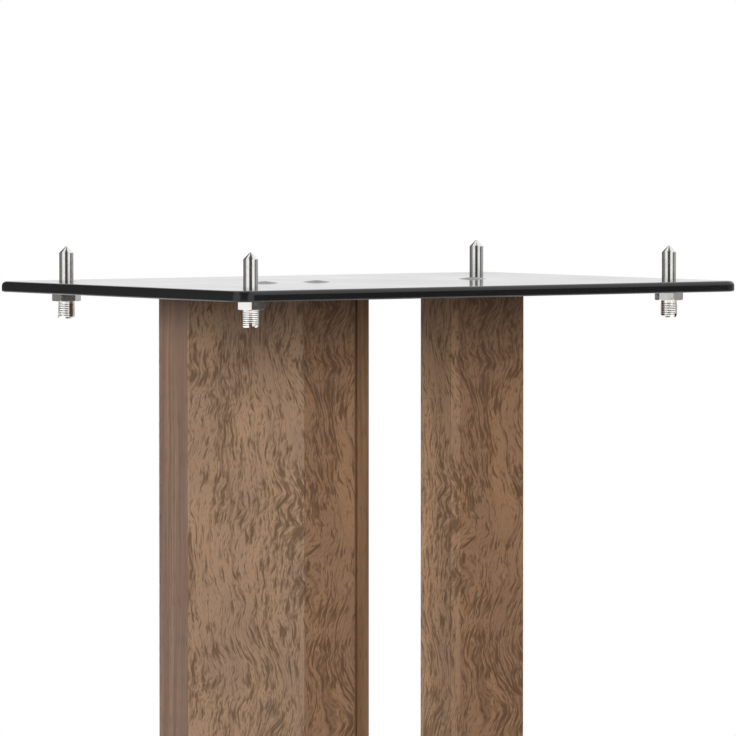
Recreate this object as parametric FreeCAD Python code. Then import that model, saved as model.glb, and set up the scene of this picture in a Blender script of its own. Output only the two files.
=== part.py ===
import FreeCAD, Part
import math
import os

# A speaker stand. Two walnut-veneered pillars, a wide one in front and a narrow one behind, stand
# between a steel base plate and a steel top plate. Screws through both plates hold the pillars by
# threaded inserts in their ends. Four pointed spikes in the top plate carry the loudspeaker, four
# in the base plate stand on the floor, and a thin lock nut holds each spike in its plate.
# The origin is on the floor under the stand's centre. +X is its right, +Y its rear and +Z up.

# ---------------------------------------------------------------- driving dimensions, millimetres

STAND_HEIGHT = 600.0        # floor to the upper face of the top plate

TOP_WIDTH = 240.0           # along X
TOP_DEPTH = 340.0           # along Y
TOP_THICK = 6.0
TOP_CORNER_R = 10.0
TOP_EDGE_R = 2.8            # rounding of the plate's upper outline
TOP_UNDER_EDGE_R = 0.8      # rounding of its lower outline

BASE_WIDTH = 300.0
BASE_DEPTH = 400.0
BASE_THICK = 8.0
BASE_CORNER_R = 12.0
BASE_EDGE_R = 2.2           # rounding of its upper and lower outline

SPIKE_SPAN_X = 180.0        # between the top spikes' axes
SPIKE_SPAN_Y = 284.0
FLOOR_SPAN_X = 244.0        # between the floor spikes' axes
FLOOR_SPAN_Y = 344.0

SPIKE_LENGTH = 40.0
SPIKE_RISE = 19.5           # how far a point stands out of its plate
SHANK_R = 4.0
THREAD_R = 5.0
THREAD_PITCH = 1.0
THREAD_DEPTH = 0.5
THREAD_LAND = 0.12          # half the flat on a thread's crest
TIP_FLAT_R = 0.4            # the small blunt face at the point
END_CHAMFER = 0.9
SLOT_WIDTH = 1.6            # screwdriver slot in the threaded end
SLOT_DEPTH = 2.2

NUT_FLATS = 14.0
NUT_THICK = 5.0
NUT_BORE_R = THREAD_R + 0.05
NUT_CHAMFER = 0.6           # taken off each corner, along the radius
NUT_CHAMFER_ANGLE = 30.0

PILLAR_THICK = 29.0         # along X
WIDE_WIDTH = 121.0          # along Y
WIDE_CENTRE_Y = -70.5
NARROW_WIDTH = 51.0
NARROW_CENTRE_Y = 72.0
VENEER = 0.8
ARRIS_R = 0.4               # rounding of the pillars' long outer edges
LIPPING = 10.0              # solid edge of the wide pillar, on the side of the gap
GROOVE_WIDTH = 2.0          # shadow groove between the faces and the lipping
GROOVE_DEPTH = 1.2
LEAF_JOINT_Y = -54.0        # joint between the two veneer leaves of the wide faces

SCREW_YS = (-70.5, -35.5, 72.0)
SCREW_R = 3.95
SCREW_HEAD_R = 8.0
SCREW_DOME = 0.9
SCREW_LENGTH = 28.0         # below the plate's outer face
SCREW_POINT = 1.0           # chamfer of its end
SCREW_SOCKET = 5.0          # hexagon across flats
SCREW_SOCKET_DEPTH = 3.2
SCREW_HOLE_R = 4.3

INSERT_R = 6.0
INSERT_BORE_R = 4.0
INSERT_LENGTH = 24.0
INSERT_GROOVE = 0.5         # depth of the two glue grooves
INSERT_GROOVE_WIDTH = 2.0
PILOT_DEPTH = 28.0

DOWEL_R = 3.0
DOWEL_OFFSET = 15.5         # from the narrow pillar's screw, along Y
DOWEL_IN_PLATE = 3.5
DOWEL_IN_PILLAR = 16.0
DOWEL_CHAMFER = 0.4

# name, side of X, side of Y, turn of the lock nut and of the end slot in degrees
CORNERS = (
    ("front_left", -1, -1, 4.8, 70.0),
    ("front_right", 1, -1, 28.3, 144.3),
    ("rear_right", 1, 1, 40.9, 15.0),
    ("rear_left", -1, 1, 12.0, 110.0),
)

# ------------------------------------------------------------------------------- worked-out places

TOP_Z = STAND_HEIGHT
TOP_UNDER_Z = TOP_Z - TOP_THICK
BASE_UNDER_Z = SPIKE_RISE
BASE_Z = BASE_UNDER_Z + BASE_THICK
WIDE_SCREW_YS = [y for y in SCREW_YS if y < 0]
NARROW_SCREW_YS = [y for y in SCREW_YS if y > 0]
DOWEL_YS = (NARROW_CENTRE_Y - DOWEL_OFFSET, NARROW_CENTRE_Y + DOWEL_OFFSET)
PAST = 1.0                  # how far a cutting shape runs past what it cuts

UP = FreeCAD.Vector(0, 0, 1)
ORIGIN = FreeCAD.Vector(0, 0, 0)
ALONG_X = FreeCAD.Vector(1, 0, 0)


def at(x, y, z):
    return FreeCAD.Vector(x, y, z)


def near(a, b):
    return abs(a - b) < 0.01


def moved(shape, x, y, z):
    copy = shape.copy()
    copy.translate(at(x, y, z))
    return copy


def turned(shape, degrees):
    copy = shape.copy()
    copy.rotate(ORIGIN, UP, degrees)
    return copy


def upside_down(shape):
    copy = shape.copy()
    copy.rotate(ORIGIN, ALONG_X, 180)
    return copy


def slab(x0, x1, y0, y1, z0, z1):
    return Part.makeBox(x1 - x0, y1 - y0, z1 - z0, at(x0, y0, z0))


def rod(radius, x, y, z0, z1):
    return Part.makeCylinder(radius, z1 - z0, at(x, y, z0))


def revolved(points):
    """A solid turned about Z from (radius, height) points, which start and end on the axis."""
    outline = Part.makePolygon([at(r, 0, z) for r, z in points + points[:1]])
    return Part.Face(outline).revolve(ORIGIN, UP, 360)


def hexagon_prism(flats, z0, z1):
    corner = flats / math.sqrt(3)
    angles = [math.radians(60 * k) for k in range(7)]
    ring = [at(corner * math.cos(a), corner * math.sin(a), z0) for a in angles]
    return Part.Face(Part.makePolygon(ring)).extrude(at(0, 0, z1 - z0))


def save(name, *solids):
    shape = solids[0] if len(solids) == 1 else Part.makeCompound(list(solids))
    shape.exportStep("parts/" + name + ".step")
    print(name, "solids", len(shape.Solids), "volume %.0f mm3" % shape.Volume)


# ------------------------------------------------------------------------------------- the plates

def rounded_plate(width, depth, thick, corner_r, upper_r, lower_r):
    """A plate centred on the Z axis with its lower face at z = 0."""
    plate = slab(-width / 2, width / 2, -depth / 2, depth / 2, 0, thick)
    upright = [e for e in plate.Edges if abs(e.tangentAt(e.FirstParameter).z) > 0.99]
    plate = plate.makeFillet(corner_r, upright)
    for height, edge_r in ((thick, upper_r), (0, lower_r)):
        level = [e for e in plate.Edges if near(e.BoundBox.ZLength, 0)]
        outline = [e for e in level if near(e.BoundBox.ZMin, height)]
        plate = plate.makeFillet(edge_r, outline)
    return plate


def countersunk_hole(y, thick):
    """A screw's clearance hole, with its countersink at the top face."""
    sink = SCREW_HEAD_R - SCREW_HOLE_R
    cone = Part.makeCone(SCREW_HOLE_R, SCREW_HEAD_R, sink, at(0, y, thick - sink))
    return rod(SCREW_HOLE_R, 0, y, -PAST, thick).fuse(cone)


def drilled_plate(plate, thick, span_x, span_y):
    """The spike holes, the countersunk screw holes and the blind dowel holes of the lower face."""
    for _, side_x, side_y, _, _ in CORNERS:
        x = side_x * span_x / 2
        y = side_y * span_y / 2
        plate = plate.cut(rod(NUT_BORE_R, x, y, -PAST, thick + PAST))
    for y in SCREW_YS:
        plate = plate.cut(countersunk_hole(y, thick))
    for y in DOWEL_YS:
        plate = plate.cut(rod(DOWEL_R, 0, y, -PAST, DOWEL_IN_PLATE))
    return plate


def top_plate():
    blank = rounded_plate(TOP_WIDTH, TOP_DEPTH, TOP_THICK, TOP_CORNER_R, TOP_EDGE_R, TOP_UNDER_EDGE_R)
    plate = drilled_plate(blank, TOP_THICK, SPIKE_SPAN_X, SPIKE_SPAN_Y)
    return moved(plate, 0, 0, TOP_UNDER_Z)


def base_plate():
    """The base is drilled as the top is, then turned over about the Y axis."""
    blank = rounded_plate(BASE_WIDTH, BASE_DEPTH, BASE_THICK, BASE_CORNER_R, BASE_EDGE_R, BASE_EDGE_R)
    plate = drilled_plate(blank, BASE_THICK, FLOOR_SPAN_X, FLOOR_SPAN_Y)
    plate.rotate(ORIGIN, at(0, 1, 0), 180)
    return moved(plate, 0, 0, BASE_Z)


# ---------------------------------------------------------------------------- spikes and lock nuts

def thread_outline(z_start, z_end):
    """Points of a fine thread's profile on the way down, as ring grooves of the thread's pitch."""
    points = []
    z = z_start
    while z - THREAD_PITCH >= z_end:
        points.append((THREAD_R, z - THREAD_LAND))
        points.append((THREAD_R - THREAD_DEPTH, z - THREAD_PITCH / 2))
        points.append((THREAD_R, z - THREAD_PITCH + THREAD_LAND))
        z -= THREAD_PITCH
    return points


def spike(slot_turn):
    """A spike pointing up, with the outer face of its plate at z = 0."""
    cone = SHANK_R - TIP_FLAT_R
    foot = SPIKE_RISE - SPIKE_LENGTH
    points = [(0, SPIKE_RISE), (TIP_FLAT_R, SPIKE_RISE), (SHANK_R, SPIKE_RISE - cone), (SHANK_R, 0)]
    points.append((THREAD_R - THREAD_DEPTH, 0))
    points.append((THREAD_R, -THREAD_DEPTH))
    points += thread_outline(-THREAD_DEPTH, foot + END_CHAMFER)
    points.append((THREAD_R, foot + END_CHAMFER))
    points.append((THREAD_R - END_CHAMFER, foot))
    points.append((0, foot))
    reach = THREAD_R + PAST
    half = SLOT_WIDTH / 2
    slot = slab(-reach, reach, -half, half, foot - PAST, foot + SLOT_DEPTH)
    return revolved(points).cut(turned(slot, slot_turn))


def lock_nut():
    """A thin hexagonal nut from z = 0 down, with its corners chamfered at both faces."""
    corner = NUT_FLATS / math.sqrt(3)
    drop = NUT_CHAMFER * math.tan(math.radians(NUT_CHAMFER_ANGLE))
    body = hexagon_prism(NUT_FLATS, -NUT_THICK, 0)
    outline = [
        (0, 0),
        (corner - NUT_CHAMFER, 0),
        (corner + NUT_CHAMFER, -2 * drop),
        (corner + NUT_CHAMFER, -NUT_THICK + 2 * drop),
        (corner - NUT_CHAMFER, -NUT_THICK),
        (0, -NUT_THICK),
    ]
    body = body.common(revolved(outline))
    return body.cut(rod(NUT_BORE_R, 0, 0, -NUT_THICK - PAST, PAST))


def spikes_and_nuts():
    nut = lock_nut()
    for name, side_x, side_y, nut_turn, slot_turn in CORNERS:
        pin = spike(slot_turn)
        x = side_x * SPIKE_SPAN_X / 2
        y = side_y * SPIKE_SPAN_Y / 2
        save("top_spike_" + name, moved(pin, x, y, TOP_Z))
        save("top_locknut_" + name, moved(turned(nut, nut_turn), x, y, TOP_UNDER_Z))
        x = side_x * FLOOR_SPAN_X / 2
        y = side_y * FLOOR_SPAN_Y / 2
        save("floor_spike_" + name, moved(upside_down(pin), x, y, BASE_UNDER_Z))
        save("floor_locknut_" + name, moved(upside_down(turned(nut, nut_turn)), x, y, BASE_Z))


# --------------------------------------------------------------- screws, threaded inserts, dowels

def screw():
    """A raised countersunk screw with its plate's outer face at z = 0 and its point downwards."""
    sink = SCREW_HEAD_R - SCREW_HOLE_R
    neck = SCREW_HEAD_R - SCREW_R
    points = [(SCREW_HEAD_R, 0), (SCREW_HOLE_R, -sink), (SCREW_R, -neck)]
    points.append((SCREW_R, SCREW_POINT - SCREW_LENGTH))
    points += [(SCREW_R - SCREW_POINT, -SCREW_LENGTH), (0, -SCREW_LENGTH), (0, 0)]
    body = revolved(points)
    ball_r = (SCREW_HEAD_R ** 2 + SCREW_DOME ** 2) / (2 * SCREW_DOME)
    ball = Part.makeSphere(ball_r, at(0, 0, SCREW_DOME - ball_r))
    dome = ball.common(rod(SCREW_HEAD_R, 0, 0, 0, SCREW_DOME + PAST))
    socket = hexagon_prism(SCREW_SOCKET, SCREW_DOME - SCREW_SOCKET_DEPTH, SCREW_DOME + PAST)
    return body.fuse(dome).removeSplitter().cut(socket)


def threaded_insert():
    """A steel sleeve from z = 0 down, with two grooves that the glue keys into."""
    bore = rod(INSERT_BORE_R, 0, 0, -INSERT_LENGTH - PAST, PAST)
    sleeve = rod(INSERT_R, 0, 0, -INSERT_LENGTH, 0).cut(bore)
    for share in (1 / 3, 2 / 3):
        low = -INSERT_LENGTH * share - INSERT_GROOVE_WIDTH / 2
        high = low + INSERT_GROOVE_WIDTH
        bottom = rod(INSERT_R - INSERT_GROOVE, 0, 0, low, high)
        sleeve = sleeve.cut(rod(INSERT_R + PAST, 0, 0, low, high).cut(bottom))
    return sleeve


def dowel():
    """A dowel across the joint between a plate, above z = 0, and the narrow pillar, below it."""
    pin = rod(DOWEL_R, 0, 0, -DOWEL_IN_PILLAR, DOWEL_IN_PLATE)
    rims = [e for e in pin.Edges if e.Curve.TypeId == "Part::GeomCircle"]
    return pin.makeChamfer(DOWEL_CHAMFER, rims)


def pillar_joints():
    """The fasteners at both ends of the pillars."""
    fixing = screw()
    sleeve = threaded_insert()
    pin = dowel()
    ends = (("top", TOP_Z, TOP_UNDER_Z, False), ("base", BASE_UNDER_Z, BASE_Z, True))
    for end, outer_z, joint_z, flip in ends:
        a_screw = upside_down(fixing) if flip else fixing
        a_sleeve = upside_down(sleeve) if flip else sleeve
        a_pin = upside_down(pin) if flip else pin
        save(end + "_plate_screws", *[moved(a_screw, 0, y, outer_z) for y in SCREW_YS])
        save("wide_pillar_" + end + "_inserts", *[moved(a_sleeve, 0, y, joint_z) for y in WIDE_SCREW_YS])
        save("narrow_pillar_" + end + "_insert", *[moved(a_sleeve, 0, y, joint_z) for y in NARROW_SCREW_YS])
        save("narrow_pillar_" + end + "_dowels", *[moved(a_pin, 0, y, joint_z) for y in DOWEL_YS])


# ------------------------------------------------------------------------------------ the pillars

def bored_core(y0, y1, screw_ys, pin_ys):
    """A pillar's core board between y0 and y1, bored at both ends for its inserts and dowels."""
    half = PILLAR_THICK / 2 - VENEER
    core = slab(-half, half, y0, y1, BASE_Z, TOP_UNDER_Z)
    for y in screw_ys:
        for low, high in end_spans(INSERT_LENGTH):
            core = core.cut(rod(INSERT_R, 0, y, low, high))
        for low, high in end_spans(PILOT_DEPTH):
            core = core.cut(rod(INSERT_BORE_R, 0, y, low, high))
    for y in pin_ys:
        for low, high in end_spans(DOWEL_IN_PILLAR):
            core = core.cut(rod(DOWEL_R, 0, y, low, high))
    return core


def end_spans(depth):
    """The stretches of Z that a hole of this depth takes at the pillar's foot and at its head."""
    return ((BASE_Z, BASE_Z + depth), (TOP_UNDER_Z - depth, TOP_UNDER_Z))


def face_leaf(side, y0, y1, rounded_ys):
    """A veneer leaf on the left (-1) or right (1) face, with its outer long edges rounded."""
    outer = side * PILLAR_THICK / 2
    inner = outer - side * VENEER
    leaf = slab(min(outer, inner), max(outer, inner), y0, y1, BASE_Z, TOP_UNDER_Z)
    long_edges = []
    for e in leaf.Edges:
        p = e.CenterOfMass
        on_arris = near(p.x, outer) and any(near(p.y, y) for y in rounded_ys)
        if on_arris and e.BoundBox.ZLength > ARRIS_R:
            long_edges.append(e)
    return leaf.makeFillet(ARRIS_R, long_edges) if long_edges else leaf


def edge_leaf(y_outer, y_inner):
    """An edge veneer between the two faces' leaves."""
    half = PILLAR_THICK / 2 - VENEER
    return slab(-half, half, min(y_outer, y_inner), max(y_outer, y_inner), BASE_Z, TOP_UNDER_Z)


def lipping(y0, y1):
    """The wide pillar's solid edge, with a groove along its joint on both faces."""
    half = PILLAR_THICK / 2
    strip = slab(-half, half, y0, y1, BASE_Z, TOP_UNDER_Z)
    for side in (-1, 1):
        bottom = side * (half - GROOVE_DEPTH)
        mouth = side * (half + PAST)
        low = min(bottom, mouth)
        high = max(bottom, mouth)
        strip = strip.cut(slab(low, high, y0, y0 + GROOVE_WIDTH, BASE_Z, TOP_UNDER_Z))
    arrises = [e for e in strip.Edges if e.BoundBox.ZLength > ARRIS_R and near(e.CenterOfMass.y, y1)]
    return strip.makeFillet(ARRIS_R, arrises)


def wide_pillar():
    front = WIDE_CENTRE_Y - WIDE_WIDTH / 2
    rear = WIDE_CENTRE_Y + WIDE_WIDTH / 2
    joint = rear - LIPPING
    save("wide_pillar_core", bored_core(front + VENEER, joint, WIDE_SCREW_YS, ()))
    save("wide_pillar_front_edge_veneer", edge_leaf(front, front + VENEER))
    save("wide_pillar_lipping", lipping(joint, rear))
    for name, side in (("left", -1), ("right", 1)):
        first = face_leaf(side, front, LEAF_JOINT_Y, (front,))
        second = face_leaf(side, LEAF_JOINT_Y, joint, ())
        save("wide_pillar_" + name + "_face_veneer", first, second)


def narrow_pillar():
    front = NARROW_CENTRE_Y - NARROW_WIDTH / 2
    rear = NARROW_CENTRE_Y + NARROW_WIDTH / 2
    save("narrow_pillar_core", bored_core(front + VENEER, rear - VENEER, NARROW_SCREW_YS, DOWEL_YS))
    save("narrow_pillar_front_edge_veneer", edge_leaf(front, front + VENEER))
    save("narrow_pillar_rear_edge_veneer", edge_leaf(rear, rear - VENEER))
    for name, side in (("left", -1), ("right", 1)):
        save("narrow_pillar_" + name + "_face_veneer", face_leaf(side, front, rear, (front, rear)))


def main():
    os.makedirs("parts", exist_ok=True)
    save("top_plate", top_plate())
    save("base_plate", base_plate())
    wide_pillar()
    narrow_pillar()
    pillar_joints()
    spikes_and_nuts()


main()
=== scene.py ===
# %% [markdown]
# # A loudspeaker stand
# Two veneered pillars join a black steel base plate to a black steel top plate. Four pointed
# spikes in the top plate carry the loudspeaker, and four more stand on the floor. The measured
# model comes in first, as a fixed frame. Then each piece that shows is modelled over its measured
# node, or keeps that node and gets a finish. All sizes are in metres.

# %% Load the measured model
import math

import bmesh
import bpy
from mathutils import Matrix, Vector


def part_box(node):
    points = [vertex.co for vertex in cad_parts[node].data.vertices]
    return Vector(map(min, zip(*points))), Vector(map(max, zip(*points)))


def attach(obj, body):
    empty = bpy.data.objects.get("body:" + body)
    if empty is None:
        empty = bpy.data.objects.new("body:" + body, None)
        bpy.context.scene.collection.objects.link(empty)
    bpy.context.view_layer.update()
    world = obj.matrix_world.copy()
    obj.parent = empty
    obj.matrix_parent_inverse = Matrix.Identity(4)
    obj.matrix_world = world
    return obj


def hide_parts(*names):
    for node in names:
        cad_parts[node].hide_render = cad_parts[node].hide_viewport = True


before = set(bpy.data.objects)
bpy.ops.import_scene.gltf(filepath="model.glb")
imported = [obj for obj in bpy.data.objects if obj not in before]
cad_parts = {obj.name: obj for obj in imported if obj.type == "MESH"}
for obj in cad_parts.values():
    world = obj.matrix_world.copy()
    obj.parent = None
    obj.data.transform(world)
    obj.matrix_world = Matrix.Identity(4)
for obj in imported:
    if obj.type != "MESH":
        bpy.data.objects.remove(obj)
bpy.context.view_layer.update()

MM = 0.001

# %% [markdown]
# ## The camera
# The photograph was taken from far off with a long lens, level with a point a little above the
# top plate. Its place was found by fitting the plate's corners and the spikes. A long lens far
# away keeps the pillars' sides parallel, and a small tilt, in place of a lens shift, puts the
# plate in the upper half of the picture.

# %% Place the camera
CAMERA_AT = Vector((2.8719, -2.0648, 0.6984))
TOWARDS_STAND = Vector((-0.8120, 0.5837, 0.0))
CAMERA_TILT = math.radians(2.38)
LENS_MM = 310.6
SENSOR_MM = 36.0


def place_camera():
    sight = TOWARDS_STAND * math.cos(CAMERA_TILT) - Vector((0, 0, math.sin(CAMERA_TILT)))
    bpy.ops.object.camera_add(location=CAMERA_AT)
    camera = bpy.context.object
    camera.rotation_euler = sight.to_track_quat("-Z", "Y").to_euler()
    camera.data.sensor_width = SENSOR_MM
    camera.data.lens = LENS_MM
    camera.data.clip_start = 0.1
    camera.data.clip_end = 60.0
    bpy.context.scene.camera = camera
    return camera


print("camera at", [round(c, 3) for c in place_camera().location])

# %% [markdown]
# ## Working with selections
# A modelling operator acts on everything that is selected, so each step first selects exactly
# what it needs. These helpers select one object, or the corners, edges or faces that pass a test,
# just as a click or a box-select would. The third puts an object's place into its mesh, because
# every finished piece here has its origin at the stand's own.


# %% Selection helpers
def select_only(*pieces):
    """Leaves edit mode and selects these objects alone; the first becomes the active one."""
    if bpy.context.mode != "OBJECT":
        bpy.ops.object.mode_set(mode="OBJECT")
    bpy.ops.object.select_all(action="DESELECT")
    for piece in pieces:
        piece.select_set(True)
    bpy.context.view_layer.objects.active = pieces[0]


def choose(kind, test):
    """In edit mode, selects the "VERT", "EDGE" or "FACE" elements for which test is true."""
    bpy.ops.mesh.select_mode(type=kind)
    bpy.ops.mesh.select_all(action="DESELECT")
    mesh = bpy.context.edit_object.data
    shape = bmesh.from_edit_mesh(mesh)
    elements = {"VERT": shape.verts, "EDGE": shape.edges, "FACE": shape.faces}[kind]
    chosen = [element for element in elements if test(element)]
    for element in chosen:
        element.select_set(True)
    bmesh.update_edit_mesh(mesh)
    return len(chosen)


def settle(piece):
    """Puts an object's place, turn and size into its mesh, so that its origin is the stand's."""
    select_only(piece)
    bpy.ops.object.transform_apply(location=True, rotation=True, scale=True)
    return piece


bpy.ops.object.select_all(action="DESELECT")
print("selected objects", len(bpy.context.selected_objects))

# %% [markdown]
# ## Sawn stock: a stretched cube
# Plates, veneer leaves and strips start as sawn stock does, as a block of the right size. Its
# eight corners could be typed in, but a cube primitive comes closed, with its faces outwards, and
# only has to be stretched between two opposite corners of the measured box.


# %% Block helper
def block(name, low, high):
    """A cube primitive stretched between two opposite corners."""
    low, high = Vector(low), Vector(high)
    bpy.ops.object.select_all(action="DESELECT")
    bpy.ops.mesh.primitive_cube_add(size=1, location=(low + high) / 2)
    piece = bpy.context.object
    piece.name = piece.data.name = name
    piece.scale = high - low
    return settle(piece)


def is_upright(edge):
    low, high = sorted(v.co.z for v in edge.verts)
    return high - low > (edge.verts[0].co - edge.verts[1].co).length * 0.99


def size_of(node):
    """A measured node's width, depth and height in millimetres."""
    low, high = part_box(node)
    return [round(c / MM, 1) for c in high - low]


print("block for the base plate, mm", size_of("base_plate"))

# %% [markdown]
# ## Turned stock: an outline spun round
# Spikes, screws and drills come from a lathe. On a lathe, half of the profile is all there is to
# know, so each of them starts as an outline: one point, extruded from corner to corner of the
# profile and then spun round the upright axis. That gives exact tapers and chamfers, which a plain
# cylinder can't. The spin leaves doubled corners at its seam and its poles, and merging them
# closes the solid.

# %% Lathe helpers
LATHE_STEPS = 56
DOUBLED = 0.001 * MM            # corners closer than this are one corner


def drawn_line(name, points):
    """An open line through these points, drawn by extruding a single point."""
    bpy.ops.object.select_all(action="DESELECT")
    bpy.ops.mesh.primitive_plane_add(size=MM, location=(0, 0, 0))
    piece = bpy.context.object
    piece.name = piece.data.name = name
    bpy.ops.object.mode_set(mode="EDIT")
    bpy.ops.mesh.select_mode(type="VERT")
    bpy.ops.mesh.select_all(action="SELECT")
    bpy.ops.mesh.merge(type="CENTER")
    here = Vector(points[0])
    bpy.ops.transform.translate(value=here)
    for point in points[1:]:
        there = Vector(point)
        bpy.ops.mesh.extrude_region_move(TRANSFORM_OT_translate={"value": there - here})
        here = there
    bpy.ops.object.mode_set(mode="OBJECT")
    return piece


def close_and_face_outwards(piece):
    """Merges doubled corners and turns every face outwards."""
    select_only(piece)
    bpy.ops.object.mode_set(mode="EDIT")
    bpy.ops.mesh.select_all(action="SELECT")
    bpy.ops.mesh.remove_doubles(threshold=DOUBLED)
    bpy.ops.mesh.dissolve_degenerate(threshold=DOUBLED)
    bpy.ops.mesh.delete_loose(use_verts=True, use_edges=True, use_faces=False)
    bpy.ops.mesh.select_all(action="SELECT")
    bpy.ops.mesh.normals_make_consistent(inside=False)
    bpy.ops.object.mode_set(mode="OBJECT")
    return piece


def turned(name, outline, steps=LATHE_STEPS):
    """A solid of revolution about Z. The (radius, height) outline starts and ends on the axis."""
    piece = drawn_line(name, [(radius, 0, height) for radius, height in outline])
    bpy.ops.object.mode_set(mode="EDIT")
    bpy.ops.mesh.select_all(action="SELECT")
    bpy.ops.mesh.spin(steps=steps, angle=math.tau, center=(0, 0, 0), axis=(0, 0, 1))
    return close_and_face_outwards(piece)


print("a turned solid has", LATHE_STEPS, "sides")

# %% [markdown]
# ## Cutting, joining and shading
# A drill, a saw slot or a welded-on shank is one closed shape taken from or added to another. The
# Boolean modifier does both, and its exact solver copes with faces that lie in one plane. Such a
# cut leaves long thin faces, whose shading would smear over the big flat ones. Weighted normals
# let the big faces keep their own straight shading.

# %% Cutting and shading helpers
SMOOTH_UP_TO = 32               # degrees between two faces


def combine(piece, tool, how):
    """DIFFERENCE, UNION or INTERSECT of two closed shapes; the tool is used up."""
    step = piece.modifiers.new("combine", "BOOLEAN")
    step.operation = how
    step.object = tool
    step.solver = "EXACT"
    select_only(piece)
    bpy.ops.object.modifier_apply(modifier=step.name)
    bpy.data.objects.remove(tool)
    return piece


def soften_shading(piece, degrees=SMOOTH_UP_TO):
    """Smooth shading over gentle angles, while big flat faces keep their own straight normals."""
    select_only(piece)
    bpy.ops.object.shade_smooth_by_angle(angle=math.radians(degrees))
    step = piece.modifiers.new("flat faces first", "WEIGHTED_NORMAL")
    step.keep_sharp = True
    step.weight = 100
    bpy.ops.object.modifier_apply(modifier=step.name)
    return piece


print("shading is smooth up to", SMOOTH_UP_TO, "degrees")

# %% [markdown]
# ## Handing a piece over
# A finished piece gets its finish, takes the place of the measured node that it stands for, and
# rides on the part of the stand that carries it. The printed count of open edges is a quick test
# of the modelling: on a closed solid every edge joins exactly two faces, so it has to be 0.


# %% Hand-over helpers
def open_edges(piece):
    """The number of edges that don't join exactly two faces: 0 on a closed shape."""
    shape = bmesh.new()
    shape.from_mesh(piece.data)
    count = sum(1 for edge in shape.edges if len(edge.link_faces) != 2)
    shape.free()
    return count


def finished(piece, body, material, slot, *nodes):
    """Gives a piece its finish and its body, and hides the measured nodes that it stands for."""
    piece.data.materials.clear()
    piece.data.materials.append(material)
    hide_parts(*nodes)
    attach(piece, body)
    print(piece.name, "faces", len(piece.data.polygons), "open edges", open_edges(piece))


print("measured nodes still showing", len(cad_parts))

# %% [markdown]
# ## Building materials from nodes
# Every finish is a small network of shader nodes. These helpers add one node, set its options, and
# fill or link its sockets, so that a whole network reads from top to bottom. All patterns are laid
# out in the stand's own coordinates, in metres, so they keep their real scale from any side. A
# noise of scale 100 changes about every 10 mm.


# %% Node helpers
def fill(tree, socket, value):
    """Links another node's output to a socket, or sets a plain value on it."""
    if isinstance(value, bpy.types.NodeSocket):
        tree.links.new(value, socket)
    else:
        socket.default_value = value


def add(tree, kind, sockets=None, **options):
    """Adds a shader node; a socket takes a plain value or another node's output."""
    made = tree.nodes.new("ShaderNode" + kind)
    for option, value in options.items():
        setattr(made, option, value)
    for key, value in (sockets or {}).items():
        fill(tree, made.inputs[key], value)
    return made


def math_of(tree, operation, a, b=0.0, c=0.0):
    return add(tree, "Math", {0: a, 1: b, 2: c}, operation=operation).outputs[0]


def vector_of(tree, operation, a, b):
    return add(tree, "VectorMath", {0: a, 1: b}, operation=operation).outputs["Vector"]


def dot_of(tree, a, b):
    return add(tree, "VectorMath", {0: a, 1: b}, operation="DOT_PRODUCT").outputs["Value"]


def between(tree, value, low, high, to_low=0.0, to_high=1.0):
    """Turns a value between low and high smoothly into one between to_low and to_high."""
    sockets = {"Value": value, "From Min": low, "From Max": high, "To Min": to_low, "To Max": to_high}
    return add(tree, "MapRange", sockets, interpolation_type="SMOOTHSTEP").outputs["Result"]


def blended(tree, share, first, second, blend="MIX"):
    """A colour between two colours. On a Mix node, sockets 6 and 7 take colours and 2 gives one."""
    mix = add(tree, "Mix", {0: share, 6: first, 7: second}, data_type="RGBA", blend_type=blend)
    return mix.outputs[2]


def noise(tree, where, scale, detail=2.0, roughness=0.5):
    sockets = {"Vector": where, "Scale": scale, "Detail": detail, "Roughness": roughness}
    return add(tree, "TexNoise", sockets)


node_helpers = (add, math_of, vector_of, dot_of, between, blended, noise)
print("node helpers", [helper.__name__ for helper in node_helpers])

# %% [markdown]
# ## Node groups
# What several finishes share is a node group, built once and placed in each material with its own
# values, as one stamp is used on many sheets. A group has named sockets on both sides. It puts out
# only masks, values and heights: the surface shader itself stays in each material.


# %% Group helpers
def new_group(name, inputs, outputs):
    """An empty node group with named sockets, its input node and its output node."""
    tree = bpy.data.node_groups.new(name, "ShaderNodeTree")
    for label, kind, value in inputs:
        socket = tree.interface.new_socket(label, in_out="INPUT", socket_type="NodeSocket" + kind)
        socket.default_value = value
    for label, kind in outputs:
        tree.interface.new_socket(label, in_out="OUTPUT", socket_type="NodeSocket" + kind)
    return tree, tree.nodes.new("NodeGroupInput").outputs, tree.nodes.new("NodeGroupOutput").inputs


def place_group(tree, group, **values):
    """Uses a group in a material; spaces in socket names are written as underscores."""
    made = add(tree, "Group", node_tree=group)
    for key, value in values.items():
        fill(tree, made.inputs[key.replace("_", " ")], value)
    return made.outputs


print("node groups so far", len(bpy.data.node_groups))

# %% [markdown]
# ## Edge wear
# Handling rubs a finish first on its edges. They could be painted by hand, but the Bevel node finds
# them: it gives the normal that a rounded copy of the shape would have, and that differs from the
# true normal only near an edge. A cloudy noise breaks the line up, because real wear is patchy.


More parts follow.
